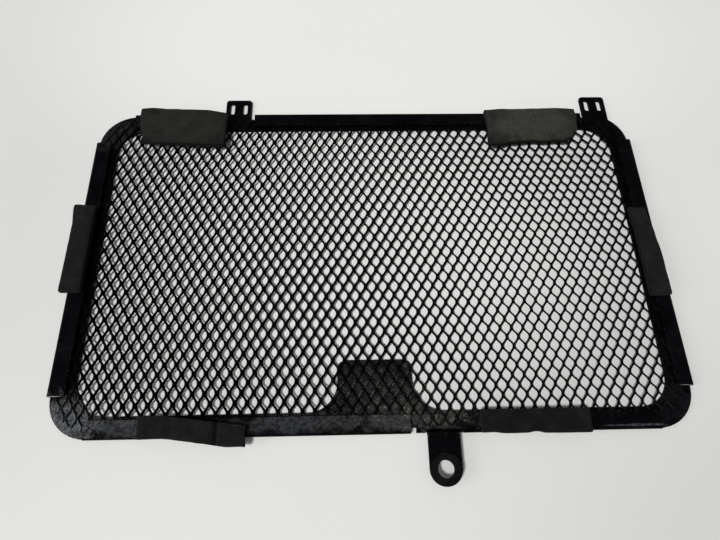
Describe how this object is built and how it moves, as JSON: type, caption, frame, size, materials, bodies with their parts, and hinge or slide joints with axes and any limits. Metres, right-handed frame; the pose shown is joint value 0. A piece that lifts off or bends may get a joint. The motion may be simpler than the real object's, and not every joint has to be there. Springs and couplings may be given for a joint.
{
  "type": "motorcycle radiator guard",
  "caption": "Rectangular folded sheet frame with a diamond expanded-metal mesh, slotted tie tabs, a lug with a rubber grommet and foam pads; keeps stones off a motorcycle radiator.",
  "frame": {"origin": "centre of the whole guard's footprint, on the plane of its front face", "axes": "+X across the guard, +Y up it towards the tie tabs, +Z out of its back, where the foam pads are"},
  "size_m": [0.3625, 0.2552, 0.0086],
  "materials": {
    "black_coat": "satin",
    "black_mesh": "satin",
    "black_rubber": "matte",
    "charcoal_foam": "matte"
  },
  "bodies": {
    "root": {"frame_panel": "black_coat", "mesh_insert": "black_mesh", "rubber_grommet": "black_rubber", "foam_pad_top_left": "charcoal_foam", "foam_pad_top_right": "charcoal_foam", "foam_pad_left": "charcoal_foam", "foam_pad_right": "charcoal_foam", "foam_pad_bottom_left": "charcoal_foam", "foam_pad_bottom_right": "charcoal_foam"}
  },
  "joints": []
}
